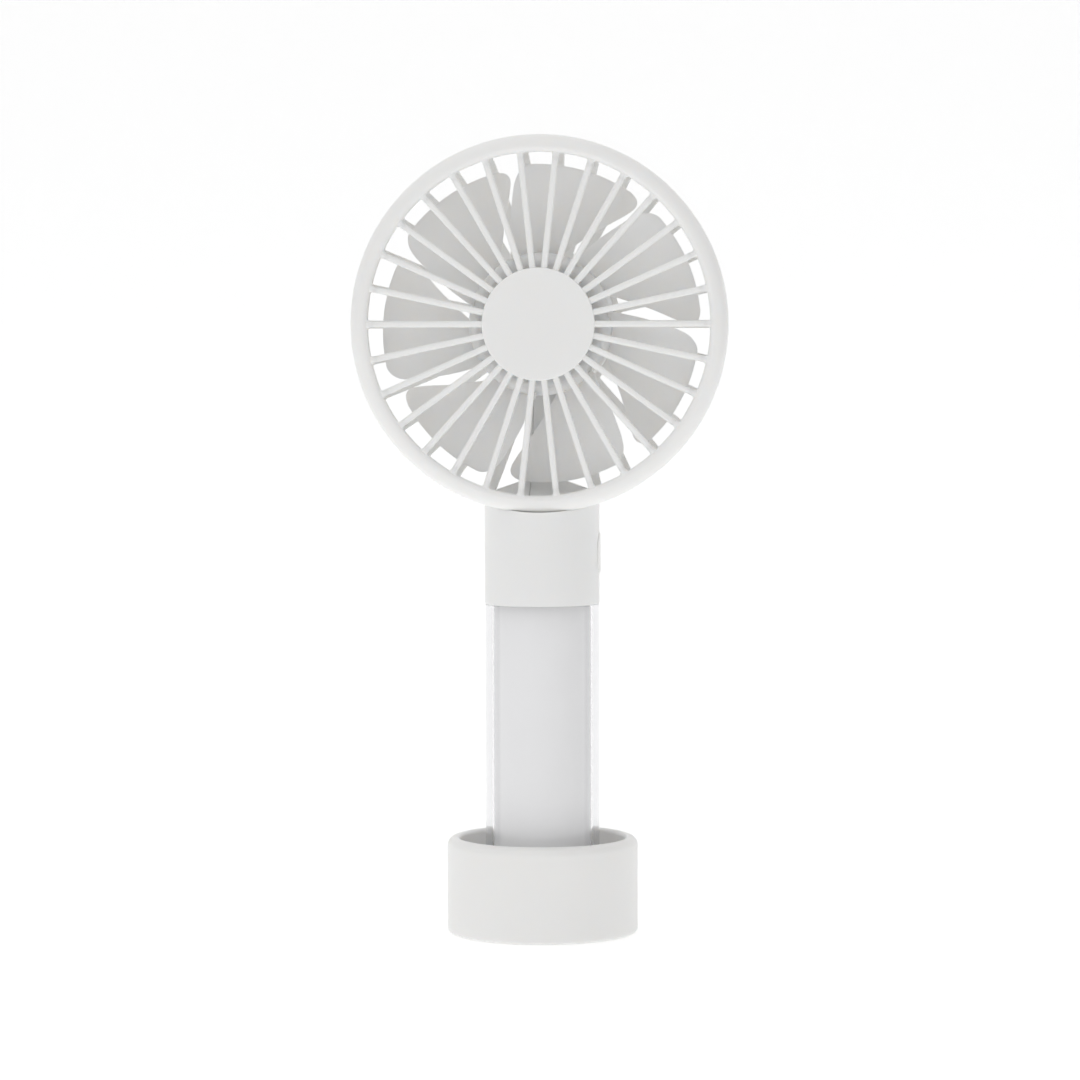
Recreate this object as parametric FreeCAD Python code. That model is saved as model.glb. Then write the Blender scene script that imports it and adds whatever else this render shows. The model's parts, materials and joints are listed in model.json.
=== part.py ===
import FreeCAD, Part
import math
import os

# Handheld electric fan standing in a cup-shaped stand. Millimetres, +Z up, the fan's face looks along -Y,
# origin on the surface it stands on, under the middle of the stand.

V = FreeCAD.Vector

# ---------------------------------------------------------------- driving dimensions
HEAD_Z = 163.2          # height of the impeller's axis
RING_R = 50.0           # outer radius of the front ring
RING_ROLL = 3.3         # radius of the ring's rolled front corner
RING_INNER_ROLL = 1.4   # radius of its rolled inner edge
RING_CREST = 15.0       # the ring's foremost line
RING_IN_R = 45.3        # inner edge of the ring
RING_WALL = 2.0
SPLIT_R = 44.0          # where the ribs end and the ring, with its short rib ends, begins
PLATE_W = 14.4          # front face of the ribs, measured forwards from the handle's axis
PLATE_BACK = 12.4
DISC_R = 14.9
DISC_W = 14.95
N_RIBS = 30
RIB_HALF = 0.83
RIB_CROWN = 0.66

REAR_C1 = (25.7, 6.4)   # centre of the rear corner arc: radius from the axis, distance forwards
REAR_R1 = 23.9
REAR_C2 = (16.63, 17.2) # centre of the shallow rear dome arc
REAR_R2 = 38.0
REAR_BREAK = math.radians(50.0)
REAR_T = 2.0
REAR_RIB_HALF = 1.05
POD_R = 18.9
POD_BACK = -22.6
POD_FRONT = -9.6
EAR_ANGLES = (90, 210, 330)
SPINE_HALF = 4.9
SPINE_OUT = 1.8

HUB_R = 19.0
HUB_FRONT = 9.0
HUB_REAR = -7.2
HUB_ROLL = 3.2
BLADE_TIP_R = 42.4
BLADE_FRONT = 9.4
BLADE_REAR = -6.7
N_BLADES = 7
BLADE_T = 1.15

NECK_R = 15.37
NECK_WALL = 1.8
NECK_Z0 = 88.5
SLEEVE_R = 15.27
SLEEVE_IN_R = 13.1
SLEEVE_Z0 = 9.0
CORE_R = 12.97
CORE_IN_R = 10.4
CELL_R = 9.15
CELL_L = 65.0
CELL_Z0 = 15.5

BASE_R = 25.6
BASE_TOP = 25.75
BASE_BOTTOM = 0.25
BASE_LIP = 2.3            # radius of the rim's rolled outer edge
BASE_IN_R = 22.2
BASE_STEP_Z = 14.2
SOCKET_R = 15.6
SOCKET_Z = 3.4
PAD_R = 21.0

BUTTON_Z = 102.1
BUTTON_L = 10.8
BUTTON_W = 6.6
BUTTON_FACE_R = 15.69
BUTTON_GAP = 0.25

PCB_X0 = 1.63
PCB_X1 = 2.63
PORT_Z = 97.2
PIPE_Z = 105.8

SHAFT_R = 1.0
SHAFT_BORE = 1.03

os.makedirs("parts", exist_ok=True)
NODES = {}


def save(name, shape):
    NODES[name] = shape
    shape.exportStep("parts/%s.step" % name)


# ---------------------------------------------------------------- helpers
def wire_rz(start, segs):
    """Closed wire in the XZ plane. A segment is an end point, or (mid, end) for an arc through mid."""
    p = start
    edges = []
    for s in segs:
        if isinstance(s[0], tuple):
            m, e = s
            edges.append(Part.Arc(V(p[0], 0, p[1]), V(m[0], 0, m[1]), V(e[0], 0, e[1])).toShape())
        else:
            e = s
            edges.append(Part.LineSegment(V(p[0], 0, p[1]), V(e[0], 0, e[1])).toShape())
        p = e
    if abs(p[0] - start[0]) > 1e-9 or abs(p[1] - start[1]) > 1e-9:
        edges.append(Part.LineSegment(V(p[0], 0, p[1]), V(start[0], 0, start[1])).toShape())
    return Part.Wire(edges)


def rev(start, segs):
    return Part.Face(wire_rz(start, segs)).revolve(V(0, 0, 0), V(0, 0, 1), 360)


def tube(ro, ri, z0, z1):
    s = Part.makeCylinder(ro, z1 - z0, V(0, 0, z0))
    return s.cut(Part.makeCylinder(ri, z1 - z0, V(0, 0, z0))) if ri else s


def box(x0, x1, y0, y1, z0, z1):
    return Part.makeBox(x1 - x0, y1 - y0, z1 - z0, V(x0, y0, z0))


def turn_z(shape, deg):
    s = shape.copy()
    s.rotate(V(0, 0, 0), V(0, 0, 1), deg)
    return s


def head(shape):
    """Head pieces are built about +Z as the forward direction with Y upwards, then stood up facing -Y."""
    s = shape.copy()
    s.rotate(V(0, 0, 0), V(1, 0, 0), 90)
    s.translate(V(0, 0, HEAD_Z))
    return s


def pol(r, deg):
    a = math.radians(deg)
    return (r * math.cos(a), r * math.sin(a))


def rounded(points, radii, z0, z1):
    """Prism over a closed polygon with its corners rounded by one radius each."""
    n = len(points)
    edges = []
    cuts = []
    for i in range(n):
        p = V(points[i][0], points[i][1], z0)
        a = V(points[i - 1][0], points[i - 1][1], z0)
        b = V(points[(i + 1) % n][0], points[(i + 1) % n][1], z0)
        r = radii[i]
        u = (a - p).normalize()
        w = (b - p).normalize()
        if r <= 0:
            cuts.append((p, None, p))
            continue
        half = math.acos(max(-1, min(1, u.dot(w)))) / 2
        d = r / math.tan(half)
        bis = (u + w).normalize()
        c = p + bis * (r / math.sin(half))
        cuts.append((p + u * d, c - bis * r, p + w * d))
    for i in range(n):
        s, m, e = cuts[i]
        if m is not None:
            edges.append(Part.Arc(s, m, e).toShape())
        nxt = cuts[(i + 1) % n][0]
        if (nxt - e).Length > 1e-6:
            edges.append(Part.LineSegment(e, nxt).toShape())
    return Part.Face(Part.Wire(edges)).extrude(V(0, 0, z1 - z0))


def window(r_in, r_out, half, z0, z1, f_in, f_out):
    """Opening between two neighbouring ribs, its bisector along +X, with rounded corners."""
    a = math.radians(180.0 / N_RIBS)

    def at(r, side):
        t = math.sqrt(r * r - half * half)
        return V(t * math.cos(a) + half * math.sin(a), side * (t * math.sin(a) - half * math.cos(a)), z0)

    e = [
        Part.Arc(at(r_in, -1), V(r_in, 0, z0), at(r_in, 1)).toShape(),
        Part.LineSegment(at(r_in, 1), at(r_out, 1)).toShape(),
        Part.Arc(at(r_out, 1), V(r_out, 0, z0), at(r_out, -1)).toShape(),
        Part.LineSegment(at(r_out, -1), at(r_in, -1)).toShape(),
    ]
    s = Part.Face(Part.Wire(e)).extrude(V(0, 0, z1 - z0))

    def upright(r):
        out = []
        for ed in s.Edges:
            p, q = ed.Vertexes[0].Point, ed.Vertexes[-1].Point
            if abs(p.z - q.z) > 1 and abs(math.hypot(p.x, p.y) - r) < 0.01:
                out.append(ed)
        return out

    s = s.makeFillet(f_out, upright(r_out))
    if f_in:
        s = s.makeFillet(f_in, upright(r_in))
    return s


def lead(points, radius, bend):
    """Insulated wire: straight runs joined by tangent arcs of one bend radius."""
    pts = [V(*p) for p in points]
    edges = []
    last = pts[0]
    for i in range(1, len(pts) - 1):
        u = (pts[i - 1] - pts[i]).normalize()
        w = (pts[i + 1] - pts[i]).normalize()
        ang = math.acos(max(-1, min(1, u.dot(w))))
        half = ang / 2
        room = 0.45 * min((pts[i - 1] - pts[i]).Length, (pts[i + 1] - pts[i]).Length)
        r = min(bend, room * math.tan(half))
        d = r / math.tan(half)
        bis = (u + w).normalize()
        c = pts[i] + bis * (r / math.sin(half))
        s, m, e = pts[i] + u * d, c - bis * r, pts[i] + w * d
        edges.append(Part.LineSegment(last, s).toShape())
        edges.append(Part.Arc(s, m, e).toShape())
        last = e
    edges.append(Part.LineSegment(last, pts[-1]).toShape())
    path = Part.Wire(edges)
    d = pts[1] - pts[0]
    prof = Part.Wire([Part.Circle(pts[0], d, radius).toShape()])
    return path.makePipeShell([prof], True, False)


def fillet_try(shape, radii, pick):
    for r in radii:
        try:
            edges = [e for e in shape.Edges if pick(e)]
            out = shape.makeFillet(r, edges)
            if out.isValid() and out.Volume > 0:
                return out
        except Exception:
            pass
    print("fillet left out")
    return shape


# ---------------------------------------------------------------- stand
cup = rev((0, 1.2), [
    (PAD_R + 0.15, 1.2), (PAD_R + 0.15, BASE_BOTTOM), (BASE_R - 0.8, BASE_BOTTOM),
    ((BASE_R - 0.234, BASE_BOTTOM + 0.234), (BASE_R, BASE_BOTTOM + 0.8)),
    (BASE_R, BASE_TOP - BASE_LIP),
    ((BASE_R - BASE_LIP * (1 - math.sqrt(0.5)), BASE_TOP - BASE_LIP * (1 - math.sqrt(0.5))),
     (BASE_R - BASE_LIP, BASE_TOP)),
    ((BASE_IN_R + 0.293, BASE_TOP - 0.293), (BASE_IN_R, BASE_TOP - 1.0)),
    (BASE_IN_R - 0.15, BASE_STEP_Z + 1.0),
    ((BASE_IN_R - 0.443, BASE_STEP_Z + 0.293), (BASE_IN_R - 1.15, BASE_STEP_Z)),
    (SOCKET_R + 0.8, BASE_STEP_Z), (SOCKET_R, BASE_STEP_Z - 0.8), (SOCKET_R, SOCKET_Z), (0, SOCKET_Z)])
save("base_cup", cup)

pad = rev((0, 0), [(PAD_R - 0.3, 0), (PAD_R, 0.3), (PAD_R, 1.2), (0, 1.2)])
save("base_foot_pad", pad)

# ---------------------------------------------------------------- handle
cap = rev((0, SOCKET_Z), [
    (SLEEVE_R - 1.5, SOCKET_Z), ((SLEEVE_R - 0.44, SOCKET_Z + 0.44), (SLEEVE_R, SOCKET_Z + 1.5)),
    (SLEEVE_R, SLEEVE_Z0), (SLEEVE_IN_R - 0.05, SLEEVE_Z0), (SLEEVE_IN_R - 0.05, 11.0),
    (CORE_IN_R - 0.1, 11.0), (CORE_IN_R - 0.1, 13.4), (8.6, 13.4), (8.6, 6.0), (0, 6.0)])
save("handle_end_cap", cap)

sleeve = rev((SLEEVE_IN_R, SLEEVE_Z0), [
    (SLEEVE_R, SLEEVE_Z0), (SLEEVE_R, NECK_Z0 - 0.35), (SLEEVE_R - 0.25, NECK_Z0 - 0.1),
    (SLEEVE_IN_R, NECK_Z0 - 0.1)])
save("handle_sleeve", sleeve)

core = rev((CORE_IN_R, 11.0), [
    (CORE_R, 11.0), (CORE_R, NECK_Z0 + 3.0), (CORE_R - 0.6, NECK_Z0 + 3.6), (0, NECK_Z0 + 3.6),
    (0, NECK_Z0 + 1.6), (CORE_IN_R, NECK_Z0 + 1.6)])
core = core.cut(Part.makeCylinder(1.6, 6, V(-5, 0, NECK_Z0 - 1)))
save("handle_core", core)

cell = rev((0, CELL_Z0), [
    (CELL_R - 0.8, CELL_Z0), (CELL_R, CELL_Z0 + 0.8), (CELL_R, CELL_Z0 + CELL_L - 2.2),
    (CELL_R - 0.5, CELL_Z0 + CELL_L - 1.8), (CELL_R - 0.2, CELL_Z0 + CELL_L - 1.0),
    (CELL_R - 1.0, CELL_Z0 + CELL_L - 0.6), (4.0, CELL_Z0 + CELL_L - 0.6), (3.7, CELL_Z0 + CELL_L),
    (0, CELL_Z0 + CELL_L)])
save("battery_cell", cell)

zt = CELL_Z0 + CELL_L
tab_top = box(-3.0, 3.0, -3.0, 3.0, zt, zt + 0.2).fuse(box(-6.2, -3.0, -1.5, 1.5, zt, zt + 0.2)).fuse(
    box(-6.2, -6.0, -1.5, 1.5, zt, zt + 4.5))
tab_bot = box(-3.0, 9.45, -3.0, 3.0, CELL_Z0 - 0.2, CELL_Z0).fuse(
    box(9.3, 9.5, -3.0, 3.0, CELL_Z0 - 0.2, zt + 1.0))
save("battery_tabs", Part.makeCompound([tab_top.removeSplitter(), tab_bot.removeSplitter()]))

pads = [tube(CORE_IN_R - 0.2, CELL_R + 0.05, z, z + 6.0) for z in (24.0, 64.0)]
pads = [p.cut(box(8.0, 12.0, -4.0, 4.0, 20.0, 72.0)) for p in pads]
save("battery_pads", Part.makeCompound(pads))

# ---------------------------------------------------------------- head envelope and rear cage
def on(c, r, phi):
    return (c[0] + r * math.cos(phi), c[1] - r * math.sin(phi))


def second_angle(r_axis, radius):
    return math.acos((r_axis - REAR_C2[0]) / radius)


def band(t_out, t_in, w_rim, r_end):
    """Section between two curves parallel to the rear outer surface, t_out outside and t_in inside it."""
    ro1, ri1, ro2, ri2 = REAR_R1 + t_out, REAR_R1 - t_in, REAR_R2 + t_out, REAR_R2 - t_in
    ao = math.asin((REAR_C1[1] - w_rim) / ro1)
    ai = math.asin((REAR_C1[1] - w_rim) / ri1)
    eo, ei = second_angle(r_end, ro2), second_angle(r_end, ri2)
    return rev(on(REAR_C1, ro1, ao), [
        (on(REAR_C1, ro1, (ao + REAR_BREAK) / 2), on(REAR_C1, ro1, REAR_BREAK)),
        (on(REAR_C2, ro2, (REAR_BREAK + eo) / 2), on(REAR_C2, ro2, eo)),
        on(REAR_C2, ri2, ei),
        (on(REAR_C2, ri2, (REAR_BREAK + ei) / 2), on(REAR_C2, ri2, REAR_BREAK)),
        (on(REAR_C1, ri1, (ai + REAR_BREAK) / 2), on(REAR_C1, ri1, ai))])


def envelope(grow, w_top, limit=0.0):
    """Solid filling the cage, grown outwards by grow. With a limit it follows the ring's roll forwards to that radius."""
    ro1, ro2 = REAR_R1 + grow, REAR_R2 + grow
    eo = second_angle(17.5, ro2)
    end = on(REAR_C2, ro2, eo)
    front = [(RING_R + grow, w_top), (RING_R + grow, 5.2)]
    if limit:
        rr, cr, cw = RING_ROLL + grow, RING_R - RING_ROLL, RING_CREST - RING_ROLL
        phi = math.acos((limit - cr) / rr)
        front = [(limit, w_top), (limit, cw + rr * math.sin(phi)),
                 ((cr + rr * math.cos(phi / 2), cw + rr * math.sin(phi / 2)), (RING_R + grow, cw)), (RING_R + grow, 5.2)]
    return rev((0, w_top), front + [
        on(REAR_C1, ro1, math.asin((REAR_C1[1] - 5.0) / ro1)),
        (on(REAR_C1, ro1, math.radians(27)), on(REAR_C1, ro1, REAR_BREAK)),
        (on(REAR_C2, ro2, (REAR_BREAK + eo) / 2), end), (0, end[1])])


RIM_W = 5.0
shell = band(0.0, REAR_T, RIM_W, 17.5)
lip = rev((46.45, 1.5), [(47.9, 1.5), (47.9, 8.6), (47.6, 8.9), (46.75, 8.9), (46.45, 8.6)])
rear = shell.fuse(lip)

spine_zone = Part.makeCompound([
    box(-SPINE_HALF, SPINE_HALF, -60, -14, -40, 20),
    rounded([(-12.2, -44.2), (-6.6, -42.35), (-SPINE_HALF, -41.6), (SPINE_HALF, -41.6), (6.6, -42.35),
             (12.2, -44.2), (16.0, -60.0), (-16.0, -60.0)], [0] * 8, -40, 20),
    turn_z(box(0, 60, -1.65, 1.65, -40, 20), 252), turn_z(box(0, 60, -1.65, 1.65, -40, 20), 288)])
one = window(20.4, 47.3, REAR_RIB_HALF, -40.0, 1.0, 0.5, 0.9)
cuts = []
for k in range(N_RIBS):
    w = turn_z(one, 360.0 / N_RIBS * (k + 0.5))
    if 240 < 360.0 / N_RIBS * (k + 0.5) < 300:
        w = w.cut(spine_zone)
        keep = [s for s in w.Solids if s.Volume > 60]
        if not keep:
            continue
        w = Part.makeCompound(keep)
    cuts.append(w)
rear = rear.cut(Part.makeCompound(cuts))

# spine: raised wire channel down the back, open towards the impeller and closed by a strip
spine = band(SPINE_OUT, REAR_T, -1.0, 17.5).common(box(-SPINE_HALF, SPINE_HALF, -49.0, -10.0, -40, 5))
rear = rear.fuse(spine)
es = []
for e in rear.Edges:
    vs = e.Vertexes
    if (all(abs(abs(v.Point.x) - SPINE_HALF) < 1e-3 for v in vs) and abs(vs[0].Point.x - vs[-1].Point.x) < 1e-3
            and e.Length > 3):
        m = e.valueAt((e.FirstParameter + e.LastParameter) / 2)
        d1 = math.hypot(math.hypot(m.x, m.y) - REAR_C1[0], m.z - REAR_C1[1]) - REAR_R1
        d2 = math.hypot(math.hypot(m.x, m.y) - REAR_C2[0], m.z - REAR_C2[1]) - REAR_R2
        if abs(d1 - SPINE_OUT) < 0.05 or abs(d2 - SPINE_OUT) < 0.05:
            es.append(e)
rear = rear.makeFillet(0.9, es)
pod = rev((0, POD_BACK), [
    (POD_R - 1.8, POD_BACK), ((POD_R - 0.527, POD_BACK + 0.527), (POD_R, POD_BACK + 1.8)),
    (POD_R, POD_FRONT), (POD_R - 1.6, POD_FRONT), (POD_R - 1.6, POD_BACK + 1.8), (0, POD_BACK + 1.8)])
rear = rear.cut(Part.makeCylinder(POD_R - 1.6, 18.0, V(0, 0, POD_BACK + 1.8))).fuse(pod)
posts = [Part.makeCylinder(2.4, 9.2, V(*pol(13.6, a), POD_BACK + 1.7)) for a in EAR_ANGLES]
holes = [Part.makeCylinder(0.85, 8.0, V(*pol(13.6, a), POD_BACK + 3.0)) for a in EAR_ANGLES]
rear = rear.fuse(posts).cut(Part.makeCompound(holes))
# channel for the leads, the way into the pod and the way into the neck
channel = band(0.9, REAR_T + 0.4, 0.6, 17.3).common(box(-3.6, 3.6, -49.0, -16.9, -40, 5))
rear = rear.cut(channel)
rear = rear.cut(box(-2.6, 2.6, -55, -44.6, -4.6, -0.4))
rear = rear.removeSplitter()
save("rear_cage", head(rear))

cover = band(-1.0, REAR_T, 0.55, POD_R + 0.1).common(box(-3.5, 3.5, -49.0, -19.0, -40, 5))
save("spine_cover", head(cover))

# ---------------------------------------------------------------- front grille
ring = rev((12.5, PLATE_BACK), [(12.5, PLATE_W), (RING_IN_R + 1.2, PLATE_W), (RING_IN_R + 1.2, PLATE_BACK)])
one = window(13.5, RING_IN_R + 0.3, RIB_HALF, 5.0, 20.0, 0.3, 1.1)
ring = ring.cut(Part.makeCompound([turn_z(one, 360.0 / N_RIBS * (k + 0.5)) for k in range(N_RIBS)]))
q = 1 - math.sqrt(0.5)
rim = rev((RING_IN_R, PLATE_BACK), [
    (RING_IN_R, RING_CREST - RING_INNER_ROLL),
    ((RING_IN_R + RING_INNER_ROLL * q, RING_CREST - RING_INNER_ROLL * q), (RING_IN_R + RING_INNER_ROLL, RING_CREST)),
    ((RING_R - RING_ROLL * q, RING_CREST - RING_ROLL * q), (RING_R, RING_CREST - RING_ROLL)),
    (RING_R, 5.5), (RING_R - 0.3, 5.2), (48.0, 5.2), (48.0, 11.2),
    ((48.0 - 1.2 * q, 11.2 + 1.2 * math.sqrt(0.5)), (46.8, PLATE_BACK))])


def rib_top(e):
    return all(abs(v.Point.z - PLATE_W) < 1e-4 and 12.8 < math.hypot(v.Point.x, v.Point.y) < 46.0
               for v in e.Vertexes)


def rib_back(e):
    return all(abs(v.Point.z - PLATE_BACK) < 1e-4 and 12.8 < math.hypot(v.Point.x, v.Point.y) < 46.0
               for v in e.Vertexes)


ring = fillet_try(ring, [RIB_CROWN, 0.6, 0.5, 0.4], rib_top)
ring = fillet_try(ring, [0.35, 0.25], rib_back)
ring = ring.fuse(rim)
disc = rev((0, PLATE_BACK), [
    (DISC_R, PLATE_BACK), (DISC_R, DISC_W - 0.25), ((DISC_R - 0.073, DISC_W - 0.073), (DISC_R - 0.25, DISC_W)),
    (0, DISC_W)])
grille = ring.fuse(disc)
inner = Part.makeCylinder(SPLIT_R, 30, V(0, 0, 0))
save("front_grille", head(grille.common(inner)))
save("front_ring", head(grille.cut(inner)))

# ---------------------------------------------------------------- impeller
LOW = [(18.0, 77.2), (20.3, 72.5), (24.0, 65.8), (28.0, 60.6), (32.0, 56.4), (35.2, 53.6), (38.0, 51.9),
       (39.8, 51.4), (41.2, 52.1), (42.05, 54.0)]
HIGH = [(42.05, 94.6), (41.2, 96.5), (39.5, 98.6), (37.0, 100.4), (34.0, 102.0), (28.2, 105.6), (22.2, 109.9),
        (20.4, 111.5), (18.0, 113.8)]
LOW_S = [(17.0, 79.5), (20.3, 72.5), (24.0, 65.8), (28.0, 60.6), (32.0, 56.4), (35.2, 53.6), (39.0, 51.0), (44.0, 48.5)]
HIGH_S = [(17.0, 114.8), (20.4, 111.5), (22.2, 109.9), (28.2, 105.6), (34.0, 102.0), (37.0, 100.6), (44.0, 98.0)]


def lerp(table, r):
    for (r0, a0), (r1, a1) in zip(table, table[1:]):
        if r <= r1 or (r1, a1) == table[-1]:
            return a0 + (a1 - a0) * (r - r0) / (r1 - r0)


def blade_w(r, s):
    k = 0.30
    return BLADE_REAR + (BLADE_FRONT - BLADE_REAR) * (s + k * (s * s - s))


def blade_sheet(side):
    rows = []
    for i in range(10):
        r = 17.6 + (43.4 - 17.6) * i / 9.0
        a0, a1 = lerp(LOW_S, r), lerp(HIGH_S, r)
        row = []
        for j in range(11):
            s = -0.07 + 1.14 * j / 10.0
            a = math.radians(a0 + (a1 - a0) * s)
            ds = 0.01
            slope = (blade_w(r, s + ds) - blade_w(r, s - ds)) / (2 * ds * math.radians(a1 - a0) * r)
            t = BLADE_T * (1.15 - 0.35 * (r - 17.6) / 25.8) * (1.0 - 0.35 * abs(2 * s - 1) ** 3)
            w = blade_w(r, s) + side * 0.5 * t * math.sqrt(1 + slope * slope)
            row.append(V(r * math.cos(a), r * math.sin(a), w))
        rows.append(row)
    b = Part.BSplineSurface()
    b.interpolate(rows)
    return b, rows


def sheet_solid():
    top, tr = blade_sheet(1)
    bot, br = blade_sheet(-1)
    faces = [top.toShape(), bot.toShape()]
    for a, b in ((0, 0), (0, 1), (1, 0), (1, 1)):
        if a == 0:
            u = top.bounds()[0] if b == 0 else top.bounds()[1]
            c1, c2 = top.uIso(u), bot.uIso(bot.bounds()[0] if b == 0 else bot.bounds()[1])
        else:
            v = top.bounds()[2] if b == 0 else top.bounds()[3]
            c1, c2 = top.vIso(v), bot.vIso(bot.bounds()[2] if b == 0 else bot.bounds()[3])
        faces.append(Part.makeRuledSurface(c1.toShape(), c2.toShape()))
    sh = Part.Shell(Part.makeShell(faces).Faces)
    sh.sewShape()
    so = Part.Solid(sh)
    if so.Volume < 0:
        so.reverse()
    return so


def blade_prism():
    low = Part.BSplineCurve()
    low.interpolate([V(*pol(r, a), -15) for r, a in LOW] + [V(*pol(BLADE_TIP_R, 57.0), -15)])
    high = Part.BSplineCurve()
    high.interpolate([V(*pol(BLADE_TIP_R, 91.5), -15)] + [V(*pol(r, a), -15) for r, a in HIGH])
    arc = Part.Arc(V(*pol(BLADE_TIP_R, 57.0), -15), V(*pol(BLADE_TIP_R, 74.0), -15), V(*pol(BLADE_TIP_R, 91.5), -15))
    root = Part.Arc(V(*pol(18.0, 113.8), -15), V(*pol(18.0, 95.0), -15), V(*pol(18.0, 77.2), -15))
    w = Part.Wire([low.toShape(), arc.toShape(), high.toShape(), root.toShape()])
    return Part.Face(w).extrude(V(0, 0, 32))


blade = sheet_solid().common(blade_prism())
if blade.ShapeType != "Solid":
    blade = blade.Solids[0]
hub = rev((0, HUB_FRONT), [
    (HUB_R - HUB_ROLL, HUB_FRONT),
    ((HUB_R - HUB_ROLL * (1 - math.sqrt(0.5)), HUB_FRONT - HUB_ROLL * (1 - math.sqrt(0.5))),
     (HUB_R, HUB_FRONT - HUB_ROLL)),
    (HUB_R, HUB_REAR), (HUB_R - 1.4, HUB_REAR), (HUB_R - 1.4, HUB_FRONT - 3.6), (16.3, HUB_FRONT - 2.2),
    (16.3, 1.0), (15.05, 1.0), (15.05, HUB_FRONT - 1.4), (0, HUB_FRONT - 1.4)])
ribs = [turn_z(box(16.0, 17.9, -0.5, 0.5, 2.0, HUB_FRONT - 2.9), a) for a in range(0, 360, 60)]
imp = hub.fuse(ribs)
blades = [turn_z(blade, 360.0 / N_BLADES * k) for k in range(N_BLADES)]
# the blades' inner ends are trimmed flush with the hub's inside
blades = [b.cut(Part.makeCylinder(HUB_R - 0.7, 60, V(0, 0, -30))) for b in blades]
imp = imp.fuse(blades)
save("impeller", head(imp))

# ---------------------------------------------------------------- motor: outer-rotor brushless
YOKE_TOP = HUB_FRONT - 1.4
yoke = rev((2.6, YOKE_TOP), [
    (14.3, YOKE_TOP), (15.0, YOKE_TOP - 0.7), (15.0, 0.0), (14.2, 0.0), (14.2, YOKE_TOP - 0.8),
    (2.6, YOKE_TOP - 0.8), (2.6, YOKE_TOP - 2.2), (SHAFT_R, YOKE_TOP - 2.2), (SHAFT_R, YOKE_TOP)])
save("rotor_yoke", head(yoke))
save("rotor_magnet", head(tube(14.2, 12.95, 0.4, 6.7)))
shaft = Part.makeCylinder(SHAFT_R, YOKE_TOP + 12.2, V(0, 0, -12.2))
groove = tube(2.0, 0.8, -11.6, -11.1)
save("motor_shaft", head(shaft.cut(groove)))
save("shaft_clip", head(tube(2.1, 0.8, -11.6, -11.1).cut(box(-0.55, 0.55, 0, 3, -12, -11))))

btube = rev((3.0, 4.6), [(4.0, 4.6), (4.0, -8.6), (6.5, -8.6), (6.5, -9.8), (3.0, -9.8)])
save("bearing_tube", head(btube))


def bearing(z0):
    o = rev((2.35, z0), [(3.0, z0), (3.0, z0 + 2.3), (2.35, z0 + 2.3)])
    i = rev((SHAFT_BORE, z0), [(1.6, z0), (1.6, z0 + 2.3), (SHAFT_BORE, z0 + 2.3)])
    sh = rev((1.6, z0 + 0.15), [(2.35, z0 + 0.15), (2.35, z0 + 2.15), (1.6, z0 + 2.15)])
    return o.fuse([sh, i]).removeSplitter()


save("front_bearing", head(bearing(2.2)))
save("rear_bearing", head(bearing(-8.4)))

stator = tube(6.4, 4.02, 0.9, 5.4)
teeth = []
for k in range(9):
    t = box(5.8, 11.2, -0.9, 0.9, 0.9, 5.4)
    shoe = tube(12.5, 11.0, 0.9, 5.4).common(
        rounded([(0, 0), pol(20, -16.5), pol(20, 16.5)], [0, 0, 0], 1.0, 7.0))
    teeth.append(turn_z(t.fuse(shoe), 40 * k + 10))
stator = stator.fuse(teeth).removeSplitter()
save("stator_core", head(stator))
coil = box(6.75, 10.7, -1.7, 1.7, 0.1, 6.2).cut(box(6.0, 11.5, -0.95, 0.95, 0.85, 5.45))
coil = fillet_try(coil, [0.5, 0.35], lambda e: abs(e.Vertexes[0].Point.x - e.Vertexes[-1].Point.x) > 2
                  and abs(abs(e.Vertexes[0].Point.y) - 1.7) < 1e-6)
save("stator_windings", head(Part.makeCompound([turn_z(coil, 40 * k + 10) for k in range(9)])))

mbase = rev((6.6, -8.8), [(16.9, -8.8), (16.9, -11.6), (15.9, -11.6), (15.9, -9.8), (6.6, -9.8)])
ears = [tube(2.4, 1.05, -11.6, -9.8).Solids[0] for _ in range(3)]
mbase_parts = []
for s, a in zip(ears, EAR_ANGLES):
    s = s.copy()
    s.translate(V(*pol(13.6, a), 0))
    mbase_parts.append(s)
mbase = mbase.fuse(mbase_parts)
mbase = mbase.cut(Part.makeCompound([Part.makeCylinder(1.05, 6, V(*pol(13.6, a), -12)) for a in EAR_ANGLES]
                                    + [Part.makeCylinder(2.2, 4, V(*pol(9.4, 270), -11))]))
save("motor_base", head(mbase))
mpcb = tube(11.8, 4.2, -2.2, -1.2)
save("motor_pcb", head(mpcb))
chips = [turn_z(box(6.2, 8.8, -1.6, 1.6, -3.2, -2.2), a) for a in (60, 150)] + [
    turn_z(box(9.6, 10.6, -0.5, 0.5, -2.9, -2.2), a) for a in (0, 125, 180, 300)]
save("motor_chips", head(Part.makeCompound(chips)))
posts = []
for a in (90, 210, 330):
    p = Part.makeCylinder(1.1, 6.6, V(*pol(10.2, a), -8.8))
    posts.append(p)
save("pcb_posts", head(Part.makeCompound(posts)))

screws = []
for a in EAR_ANGLES:
    x, y = pol(13.6, a)
    s = Part.makeCylinder(1.8, 1.2, V(x, y, -8.8)).fuse(Part.makeCylinder(0.82, 7.4, V(x, y, -16.2)))
    s = s.cut(box(x - 1.2, x + 1.2, y - 0.2, y + 0.2, -8.1, -7.5)).cut(box(x - 0.2, x + 0.2, y - 1.2, y + 1.2, -8.1, -7.5))
    screws.append(s)
save("motor_screws", head(Part.makeCompound(screws)))

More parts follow.
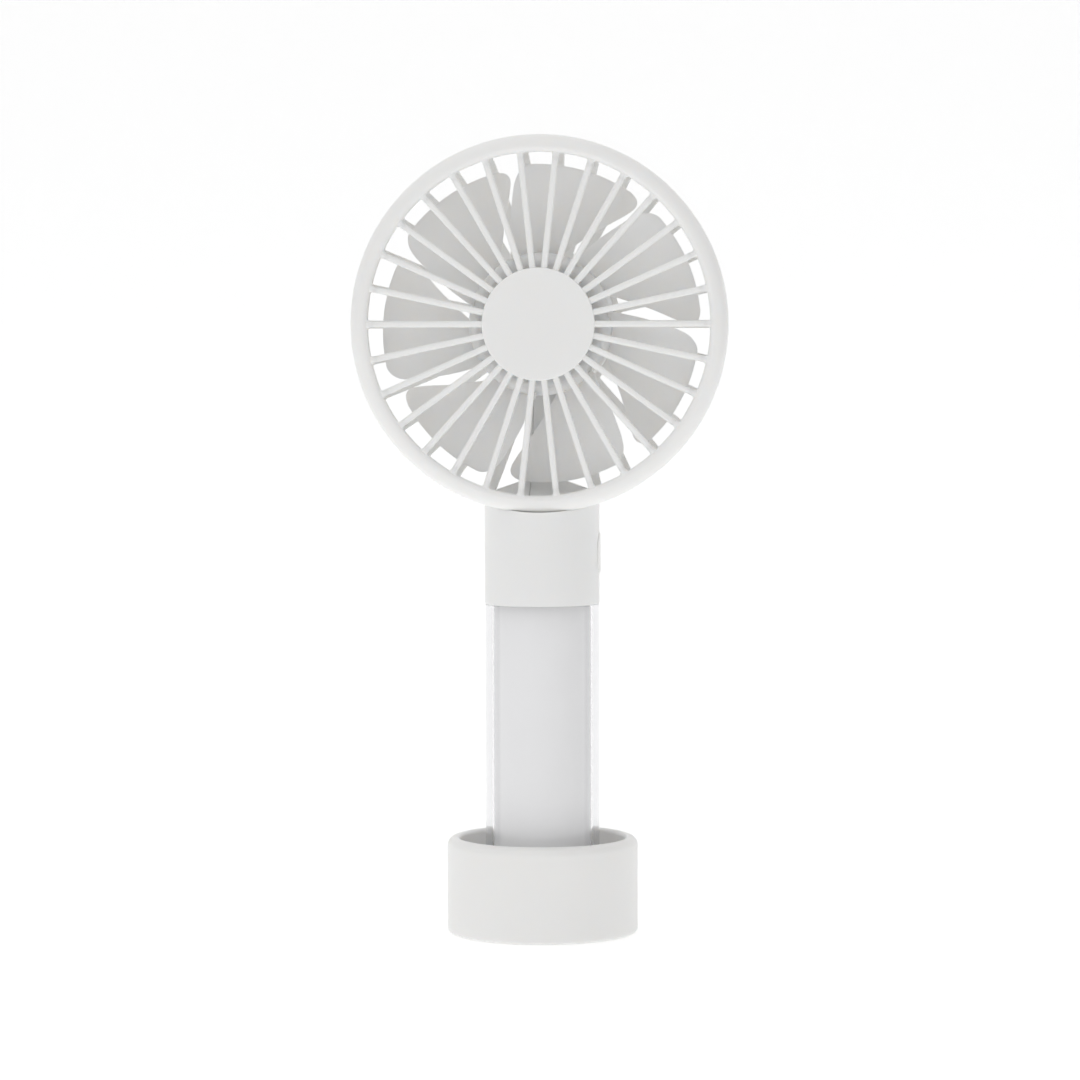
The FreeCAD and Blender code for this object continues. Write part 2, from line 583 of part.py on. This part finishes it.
# ---------------------------------------------------------------- neck
outer_env = head(envelope(0.02, 40.0, RING_R - 0.25))
neck = tube(NECK_R, 0, NECK_Z0, 135.0).cut(outer_env)
low = [s for s in neck.Solids if s.BoundBox.ZMin < NECK_Z0 + 1][0]
inner_env = head(envelope(NECK_WALL, 40.0))
room = Part.makeCylinder(NECK_R - NECK_WALL, 60, V(0, 0, NECK_Z0)).cut(inner_env)
room = [s for s in room.Solids if s.BoundBox.ZMin < NECK_Z0 + 1][0]


def roof(drop):
    """Everything above the neck's two sloping shoulders, lowered by drop."""
    line = [(-16.5, -46.36), (-12.2, -44.9), (-6.6, -43.0), (6.6, -43.0), (12.2, -44.9), (16.5, -46.36)]
    return head(rounded([(x, v - drop) for x, v in line] + [(16.5, 0.0), (-16.5, 0.0)], [0] * 8, -40, 20))


neck = low.cut(roof(0.0)).cut(room.cut(roof(NECK_WALL)))
# room for the raised spine that runs down into the neck's saddle
neck = neck.cut(head(band(SPINE_OUT + 0.03, REAR_T, 0.5, 17.5).common(
    box(-SPINE_HALF - 0.03, SPINE_HALF + 0.03, -52.0, -10.0, -40, 5))))
# lower rim sits on the sleeve, the core's head is held in its bore
neck = neck.fuse(tube(NECK_R - NECK_WALL + 0.2, CORE_R + 0.05, NECK_Z0, NECK_Z0 + 3.4))
# way for the leads up into the spine
neck = neck.cut(head(box(-2.6, 2.6, -56, -44.6, -4.6, -0.4)))
# button opening, charging port opening, light pipe hole
def pill(l, w, x0, x1, zc):
    s = box(x0, x1, -w / 2, w / 2, zc - (l - w) / 2, zc + (l - w) / 2)
    for z in (zc - (l - w) / 2, zc + (l - w) / 2):
        s = s.fuse(Part.makeCylinder(w / 2, x1 - x0, V(x0, 0, z), V(1, 0, 0)))
    return s.removeSplitter()


def slot_y(l, w, y0, y1, xc, zc):
    s = box(xc - w / 2, xc + w / 2, y0, y1, zc - (l - w) / 2, zc + (l - w) / 2)
    for z in (zc - (l - w) / 2, zc + (l - w) / 2):
        s = s.fuse(Part.makeCylinder(w / 2, y1 - y0, V(xc, y0, z), V(0, 1, 0)))
    return s.removeSplitter()


neck = neck.cut(pill(BUTTON_L + 2 * BUTTON_GAP, BUTTON_W + 2 * BUTTON_GAP, 10.0, 17.0, BUTTON_Z))
neck = neck.cut(slot_y(9.24, 3.56, 11.0, 17.0, 0, PORT_Z))
neck = neck.cut(Part.makeCylinder(0.92, 5, V(0, 12.0, PIPE_Z), V(0, 1, 0)))
# rail that holds the circuit board's front edge
rail = box(0.6, 3.7, -13.9, -10.4, NECK_Z0 + 6.0, 110.8)
neck = neck.fuse(rail.cut(box(PCB_X0 - 0.03, PCB_X1 + 0.03, -11.75, -10.0, NECK_Z0, 112)))
neck = neck.removeSplitter()
neck = fillet_try(neck, [0.6, 0.4, 0.25], lambda e: e.Length > 3 and all(
    abs(math.hypot(v.Point.x, v.Point.y) - NECK_R) < 0.02 and v.Point.z > HEAD_Z - 46.6 and v.Point.y > 2
    for v in e.Vertexes))
neck = fillet_try(neck, [0.25], lambda e: e.Length > 90 and all(abs(v.Point.z - NECK_Z0) < 1e-3 for v in e.Vertexes)
                  and all(abs(math.hypot(v.Point.x, v.Point.y) - NECK_R) < 1e-3 for v in e.Vertexes))
save("neck_shell", neck)

# ---------------------------------------------------------------- button, switch and board
press = pill(BUTTON_L, BUTTON_W, 11.2, 17.0, BUTTON_Z).common(
    Part.makeCylinder(BUTTON_FACE_R, 40, V(0, 0, 80)))
press = fillet_try(press, [0.45, 0.3], lambda e: all(
    abs(math.hypot(v.Point.x, v.Point.y) - BUTTON_FACE_R) < 1e-3 for v in e.Vertexes))
flange = pill(BUTTON_L + 1.8, BUTTON_W + 1.6, 11.2, 12.3, BUTTON_Z)
stem = Part.makeCylinder(2.0, 4.4, V(7.0, 0, BUTTON_Z), V(1, 0, 0))
button = press.fuse([flange, stem]).removeSplitter()
save("power_button", button)

sw = box(PCB_X1, PCB_X1 + 3.4, -3.0, 3.0, BUTTON_Z - 3.0, BUTTON_Z + 3.0)
sw = sw.cut(Part.makeCylinder(1.8, 3.0, V(PCB_X1 + 1.2, 0, BUTTON_Z), V(1, 0, 0)))
legs = [box(PCB_X1, PCB_X1 + 0.4, y0, y1, BUTTON_Z + dz - 0.35, BUTTON_Z + dz + 0.35)
        for dz in (-2.2, 2.2) for y0, y1 in ((-4.2, -3.0), (3.0, 4.2))]
save("tact_switch", sw.fuse(legs).removeSplitter())
save("switch_plunger", Part.makeCylinder(1.72, 7.0 - (PCB_X1 + 2.0), V(PCB_X1 + 2.0, 0, BUTTON_Z), V(1, 0, 0)))

board = box(PCB_X0, PCB_X1, -11.7, 12.2, NECK_Z0 + 6.2, 110.6)
save("control_pcb", board)

port = slot_y(8.94, 3.26, 7.0, 14.5, 0, PORT_Z)
port = port.cut(slot_y(8.34, 2.66, 8.2, 15.0, 0, PORT_Z))
port = port.fuse(box(-0.35, 0.35, 8.0, 13.6, PORT_Z - 3.1, PORT_Z + 3.1))
save("usb_socket", port.removeSplitter())

cps = [box(PCB_X1, PCB_X1 + 1.1, -9.6, -5.0, 104.7, 108.7), box(PCB_X0 - 1.1, PCB_X0, -9.0, -4.0, 96.0, 101.0),
       box(PCB_X1, PCB_X1 + 0.9, -9.2, -7.4, 96.2, 99.2), box(PCB_X0 - 0.7, PCB_X0, 2.0, 3.4, 104.2, 105.2),
       box(PCB_X0 - 0.7, PCB_X0, -1.0, 0.2, 106.7, 108.3), box(PCB_X1, PCB_X1 + 0.8, 6.0, 7.6, 97.2, 98.2)]
save("control_chips", Part.makeCompound(cps))
save("indicator_led", box(0.03, PCB_X0, 11.0, 12.1, PIPE_Z - 0.8, PIPE_Z + 0.8))
pipe = Part.makeCylinder(0.9, 2.75, V(0, 12.3, PIPE_Z), V(0, 1, 0)).common(Part.makeCylinder(NECK_R - 0.02, 40, V(0, 0, 85)))
pipe = pipe.fuse(Part.makeCylinder(1.4, 0.6, V(0, 12.25, PIPE_Z), V(0, 1, 0)))
save("light_pipe", pipe)

# ---------------------------------------------------------------- leads
top_z = zt + 2.4
bl = [lead([(-6.9, -0.2, top_z), (-6.9, -0.2, 85.6), (-5.4, -0.6, 87.4), (-5.2, -0.7, 93.4), (-3.0, -2.4, 96.4),
            (PCB_X0 - 0.6, -2.4, 101.5), (PCB_X0 - 0.6, -2.4, 103.6)], 0.55, 2.0),
      lead([(8.5, 1.0, zt + 2.2), (6.0, 1.0, 84.6), (0.0, 1.0, 85.8), (-4.7, 0.75, 87.6), (-4.7, 0.75, 93.4),
            (-1.8, 0.9, 97.0), (PCB_X0 - 0.6, 0.9, 101.0), (PCB_X0 - 0.6, 0.9, 103.0)], 0.55, 2.0)]
save("battery_leads", Part.makeCompound(bl))

# leads from the board, up through the neck, along the spine and into the pod
rows = []
for i in range(3):
    x = -1.3 + 1.3 * i
    pts = [(PCB_X0 - 0.55, 2.2 + 1.2 * i, 106.4), (x * 0.6 - 1.2, 2.6 + 0.4 * i, 108.9)]
    pts.append((x, 2.6, 111.6))
    pts.append((x, 2.65, HEAD_Z - 48.3))
    r1 = REAR_R1 - 0.05
    r2 = REAR_R2 - 0.05
    for ph in (33, 41.5, 50):
        p = on(REAR_C1, r1, math.radians(ph))
        pts.append((x, -p[1], HEAD_Z - p[0]))
    for ra in (36.0, 31.0, 26.0, 21.5):
        p = on(REAR_C2, r2, second_angle(ra, r2))
        pts.append((x, -p[1], HEAD_Z - p[0]))
    pts.append((x, 20.1, HEAD_Z - 16.2))
    pts.append((x * 1.0, 15.0, HEAD_Z - 9.6))
    pts.append((x * 0.9, 2.2, HEAD_Z - 9.4))
    rows.append(lead(pts, 0.5, 4.0))
save("motor_leads", Part.makeCompound(rows))

for n, s in NODES.items():
    b = s.BoundBox
    print("%-18s valid=%s solids=%d vol=%.1f  x %.2f %.2f  y %.2f %.2f  z %.2f %.2f" % (
        n, s.isValid(), len(s.Solids), s.Volume, b.XMin, b.XMax, b.YMin, b.YMax, b.ZMin, b.ZMax))
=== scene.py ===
import json
import math
import bpy
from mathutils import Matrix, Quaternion, Vector

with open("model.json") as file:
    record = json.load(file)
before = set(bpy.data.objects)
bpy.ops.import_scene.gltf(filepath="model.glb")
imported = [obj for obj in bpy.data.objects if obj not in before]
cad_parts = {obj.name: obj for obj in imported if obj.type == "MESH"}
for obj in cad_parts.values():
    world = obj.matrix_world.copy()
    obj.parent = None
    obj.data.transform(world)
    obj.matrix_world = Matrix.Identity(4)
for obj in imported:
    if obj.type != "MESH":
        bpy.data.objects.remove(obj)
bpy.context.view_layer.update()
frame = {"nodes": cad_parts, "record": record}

scene = bpy.context.scene
nodes = frame["nodes"]


# ------------------------------------------------------------------ node helpers
def new_mat(name):
    m = bpy.data.materials.new(name)
    m.use_nodes = True
    nt = m.node_tree
    nt.nodes.clear()
    out = nt.nodes.new("ShaderNodeOutputMaterial")
    p = nt.nodes.new("ShaderNodeBsdfPrincipled")
    nt.links.new(p.outputs[0], out.inputs[0])
    return m, nt, p


def noise(nt, vec, scale, detail=3.0, rough=0.5):
    n = nt.nodes.new("ShaderNodeTexNoise")
    n.inputs["Scale"].default_value = scale
    n.inputs["Detail"].default_value = detail
    n.inputs["Roughness"].default_value = rough
    nt.links.new(vec, n.inputs["Vector"])
    return n.outputs["Fac"]


def ramp(nt, fac, lo, hi, a, b):
    r = nt.nodes.new("ShaderNodeMapRange")
    r.inputs["From Min"].default_value = lo
    r.inputs["From Max"].default_value = hi
    r.inputs["To Min"].default_value = a
    r.inputs["To Max"].default_value = b
    nt.links.new(fac, r.inputs["Value"])
    return r.outputs["Result"]


def mix(nt, fac, a, b):
    n = nt.nodes.new("ShaderNodeMix")
    n.data_type = "RGBA"
    nt.links.new(fac, n.inputs["Factor"])
    for s, v in ((n.inputs["A"], a), (n.inputs["B"], b)):
        if isinstance(v, (tuple, list)):
            s.default_value = (*v, 1.0)
        else:
            nt.links.new(v, s)
    return n.outputs["Result"]


def bump(nt, height, strength, distance, normal=None):
    b = nt.nodes.new("ShaderNodeBump")
    b.inputs["Strength"].default_value = strength
    b.inputs["Distance"].default_value = distance
    nt.links.new(height, b.inputs["Height"])
    if normal is not None:
        nt.links.new(normal, b.inputs["Normal"])
    return b.outputs["Normal"]


def plastic(name, base, var=0.012, rough=(0.40, 0.50), grain=0.00001, grain_scale=2600.0, peel=0.00003,
            spec=0.5, sss=0.0, warm=0.0):
    """Moulded plastic: fine spark-eroded grain, a slow orange peel, faint colour drift and uneven gloss."""
    m, nt, p = new_mat(name)
    co = nt.nodes.new("ShaderNodeTexCoord").outputs["Object"]
    slow = noise(nt, co, 28.0, 2.0)
    fine = noise(nt, co, grain_scale, 2.0, 0.6)
    mid = noise(nt, co, 420.0, 3.0)
    lo = tuple(max(0.0, c * (1 - var)) for c in base)
    hi = tuple(min(1.0, c * (1 + var)) for c in base)
    hi = (hi[0], hi[1], hi[2] * (1 - warm))
    col = mix(nt, ramp(nt, slow, 0.35, 0.65, 0.0, 1.0), lo, hi)
    speck = mix(nt, ramp(nt, fine, 0.30, 0.75, 0.0, 1.0), tuple(c * 0.985 for c in base), base)
    both = nt.nodes.new("ShaderNodeMix")
    both.data_type = "RGBA"
    both.inputs["Factor"].default_value = 0.45
    nt.links.new(col, both.inputs["A"])
    nt.links.new(speck, both.inputs["B"])
    nt.links.new(both.outputs["Result"], p.inputs["Base Color"])
    nt.links.new(ramp(nt, mid, 0.3, 0.7, rough[0], rough[1]), p.inputs["Roughness"])
    n1 = bump(nt, mid, 0.6, peel)
    n2 = bump(nt, fine, 0.8, grain, n1)
    nt.links.new(n2, p.inputs["Normal"])
    p.inputs["Specular IOR Level"].default_value = spec
    p.inputs["IOR"].default_value = 1.5
    if sss:
        p.inputs["Subsurface Weight"].default_value = sss
        p.inputs["Subsurface Radius"].default_value = (1.0, 0.9, 0.8)
        p.inputs["Subsurface Scale"].default_value = 0.0022
    return m


def metal(name, base, rough=(0.25, 0.4), scale=(60.0, 60.0, 2400.0)):
    m, nt, p = new_mat(name)
    co = nt.nodes.new("ShaderNodeTexCoord").outputs["Object"]
    mp = nt.nodes.new("ShaderNodeMapping")
    mp.inputs["Scale"].default_value = scale
    nt.links.new(co, mp.inputs["Vector"])
    n = noise(nt, mp.outputs[0], 1.0, 4.0)
    nt.links.new(mix(nt, ramp(nt, n, 0.3, 0.7, 0, 1), tuple(c * 0.92 for c in base), base), p.inputs["Base Color"])
    nt.links.new(ramp(nt, n, 0.3, 0.7, rough[0], rough[1]), p.inputs["Roughness"])
    nt.links.new(bump(nt, n, 0.3, 0.00001), p.inputs["Normal"])
    p.inputs["Metallic"].default_value = 1.0
    return m


EDGE_TINT = (0.80, 0.80, 0.81)


def clear(name):
    """Clear polished plastic: a glossy coat over a wall that hardly bends what is seen through it, tinted where the
    wall is seen edge on, and letting lamps through to what is inside."""
    m, nt, p = new_mat(name)
    out = [n for n in nt.nodes if n.type == "OUTPUT_MATERIAL"][0]
    lp = nt.nodes.new("ShaderNodeLightPath")
    tr = nt.nodes.new("ShaderNodeBsdfTransparent")
    tr.inputs[0].default_value = (0.98, 0.98, 0.98, 1.0)
    mx = nt.nodes.new("ShaderNodeMixShader")
    nt.links.new(lp.outputs["Is Shadow Ray"], mx.inputs[0])
    nt.links.new(p.outputs[0], mx.inputs[1])
    nt.links.new(tr.outputs[0], mx.inputs[2])
    nt.links.new(mx.outputs[0], out.inputs[0])
    co = nt.nodes.new("ShaderNodeTexCoord").outputs["Object"]
    n = noise(nt, co, 90.0, 2.0)
    f = noise(nt, co, 1500.0, 2.0)
    nt.links.new(ramp(nt, f, 0.3, 0.7, 0.04, 0.07), p.inputs["Roughness"])
    nt.links.new(bump(nt, n, 0.25, 0.000006), p.inputs["Normal"])
    lw = nt.nodes.new("ShaderNodeLayerWeight")
    lw.inputs["Blend"].default_value = 0.5
    tint = mix(nt, ramp(nt, n, 0.3, 0.7, 0, 1), (0.990, 0.991, 0.994), (0.998, 0.998, 1.0))
    edge = mix(nt, ramp(nt, n, 0.3, 0.7, 0, 1), EDGE_TINT, tuple(min(1.0, c + 0.012) for c in EDGE_TINT))
    nt.links.new(mix(nt, ramp(nt, lw.outputs["Facing"], 0.42, 0.52, 0.0, 1.0), tint, edge), p.inputs["Base Color"])
    p.inputs["Transmission Weight"].default_value = 1.0
    p.inputs["IOR"].default_value = 1.03
    p.inputs["Coat Weight"].default_value = 0.7
    p.inputs["Coat IOR"].default_value = 1.49
    p.inputs["Coat Roughness"].default_value = 0.05
    return m


WHITE = (0.955, 0.952, 0.938)
MATS = {
    "white_plastic": plastic("white_plastic", WHITE, sss=0.35),
    "stand_plastic": plastic("stand_plastic", (0.935, 0.932, 0.918), sss=0.25),
    "core_plastic": plastic("core_plastic", (0.93, 0.929, 0.933), rough=(0.30, 0.38)),
    "impeller_plastic": plastic("impeller_plastic", (0.975, 0.971, 0.958), rough=(0.36, 0.46), sss=0.8),
    "button_plastic": plastic("button_plastic", WHITE),
    "motor_plastic": plastic("motor_plastic", (0.75, 0.74, 0.70)),
    "foot_rubber": plastic("foot_rubber", (0.42, 0.42, 0.42), rough=(0.65, 0.8), grain=0.00003),
    "foam": plastic("foam", (0.05, 0.05, 0.05), rough=(0.85, 0.95), grain=0.0001),
    "cell_wrap": plastic("cell_wrap", (0.06, 0.16, 0.30), rough=(0.2, 0.3)),
    "board": plastic("board", (0.02, 0.10, 0.05), rough=(0.25, 0.4)),
    "chip": plastic("chip", (0.02, 0.02, 0.022), rough=(0.4, 0.55)),
    "led": plastic("led", (0.80, 0.76, 0.50), rough=(0.2, 0.3)),
    "lead_insulation": plastic("lead_insulation", (0.50, 0.02, 0.015), rough=(0.3, 0.4)),
    "clear_plastic": clear("clear_plastic"),
    "steel": metal("steel", (0.62, 0.62, 0.63)),
    "screw_steel": metal("screw_steel", (0.60, 0.60, 0.62)),
    "nickel": metal("nickel", (0.70, 0.67, 0.62)),
    "brass": metal("brass", (0.80, 0.60, 0.28)),
    "copper": metal("copper", (0.72, 0.30, 0.14)),
    "magnet": plastic("magnet", (0.03, 0.03, 0.032), rough=(0.5, 0.6)),
}
for s in frame["record"]["subparts"]:
    o = nodes[s["node"]]
    o.data.materials.clear()
    o.data.materials.append(MATS[s["material_slot"]])

# ------------------------------------------------------------------ floor and light
import bmesh

me = bpy.data.meshes.new("floor")
bm = bmesh.new()
prof = [(-4.5, 0.0), (1.2, 0.0)]
for i in range(1, 17):
    a = math.radians(90 * i / 16)
    prof.append((1.2 + 0.8 * math.sin(a), 0.8 * (1 - math.cos(a))))
prof.append((2.0, 3.0))
rows = [[bm.verts.new((x, y, z)) for x in (-5.0, 4.5)] for y, z in prof]
for a, b in zip(rows, rows[1:]):
    bm.faces.new((a[0], a[1], b[1], b[0]))
bm.normal_update()
for f in bm.faces:
    f.smooth = True
bm.to_mesh(me)
bm.free()
floor = bpy.data.objects.new("floor", me)
scene.collection.objects.link(floor)
m, nt, p = new_mat("floor_paper")
co = nt.nodes.new("ShaderNodeTexCoord").outputs["Object"]
n = noise(nt, co, 600.0, 3.0)
nt.links.new(mix(nt, n, (0.93, 0.93, 0.93), (0.96, 0.96, 0.96)), p.inputs["Base Color"])
p.inputs["Roughness"].default_value = 0.9
p.inputs["Emission Color"].default_value = (1, 1, 1, 1)
p.inputs["Emission Strength"].default_value = 0.30
me.materials.append(m)

w = bpy.data.worlds.new("studio")
scene.world = w
w.use_nodes = True
wt = w.node_tree
bg = wt.nodes["Background"]
bg.inputs[0].default_value = (1.0, 1.0, 1.0, 1.0)
sep = wt.nodes.new("ShaderNodeSeparateXYZ")
wt.links.new(wt.nodes.new("ShaderNodeTexCoord").outputs["Generated"], sep.inputs[0])
# soft studio surroundings: an even level plus a broad lobe from each side
LOBES = {"even": 0.0, "right": 0.0, "left": 0.12, "up": 0.84, "front": 0.27, "back": 0.0}
total = None
for key, axis, sign in (("even", None, 0), ("right", "X", 1), ("left", "X", -1), ("up", "Z", 1), ("front", "Y", -1), ("back", "Y", 1)):
    k = wt.nodes.new("ShaderNodeMath")
    k.operation = "MULTIPLY"
    k.name = "lobe_" + key
    k.inputs[1].default_value = LOBES[key]
    if axis:
        a = wt.nodes.new("ShaderNodeMath")
        a.operation = "MULTIPLY"
        a.use_clamp = True
        a.inputs[1].default_value = sign
        wt.links.new(sep.outputs[axis], a.inputs[0])
        wt.links.new(a.outputs[0], k.inputs[0])
    else:
        k.inputs[0].default_value = 1.0
    if total is None:
        total = k.outputs[0]
    else:
        t = wt.nodes.new("ShaderNodeMath")
        t.operation = "ADD"
        wt.links.new(total, t.inputs[0])
        wt.links.new(k.outputs[0], t.inputs[1])
        total = t.outputs[0]
# past the floor's edge the eye sees the same plain white as the floor
seen = wt.nodes.new("ShaderNodeLightPath").outputs["Is Camera Ray"]
pick = wt.nodes.new("ShaderNodeMix")
pick.data_type = "FLOAT"
pick.inputs["B"].default_value = 1.0
wt.links.new(seen, pick.inputs["Factor"])
wt.links.new(total, pick.inputs["A"])
wt.links.new(pick.outputs["Result"], bg.inputs[1])


def area(name, loc, target, size, power, shape="RECTANGLE", size_y=None):
    l = bpy.data.lights.new(name, "AREA")
    l.shape = shape
    l.size = size
    if size_y:
        l.size_y = size_y
    l.energy = power
    o = bpy.data.objects.new(name, l)
    o.location = loc
    d = Vector(target) - Vector(loc)
    o.rotation_euler = d.to_track_quat("-Z", "Y").to_euler()
    scene.collection.objects.link(o)
    return o


area("key", (-0.75, -0.85, 0.95), (0, 0, 0.12), 0.7, 0.25, size_y=0.9)
area("side", (-1.3, -0.35, 0.45), (0, 0, 0.12), 0.6, 0.15, size_y=0.8)
area("sky", (-0.25, -0.55, 1.2), (0, 0, 0.12), 0.6, 0.5, size_y=0.5)
area("top", (-0.1, 0.05, 1.25), (0, 0, 0.12), 0.8, 1.0, size_y=0.8)

scene.view_settings.view_transform = "Standard"
scene.view_settings.look = "None"

# ------------------------------------------------------------------ camera
cam = bpy.data.cameras.new("camera")
cam.sensor_width = 36.0
cam.lens = 126.44
co = bpy.data.objects.new("camera", cam)
AZ = math.radians(3.84)
D = 1.015
ROLL = math.radians(-0.113)
co.location = (math.sin(AZ) * D, -math.cos(AZ) * D, 0.1608)
aim = Vector((-0.000565, 0.0, 0.10546))
turn = (aim - Vector(co.location)).to_track_quat("-Z", "Y")
co.rotation_euler = (turn @ Quaternion((0.0, 0.0, 1.0), ROLL)).to_euler()
scene.collection.objects.link(co)
scene.camera = co
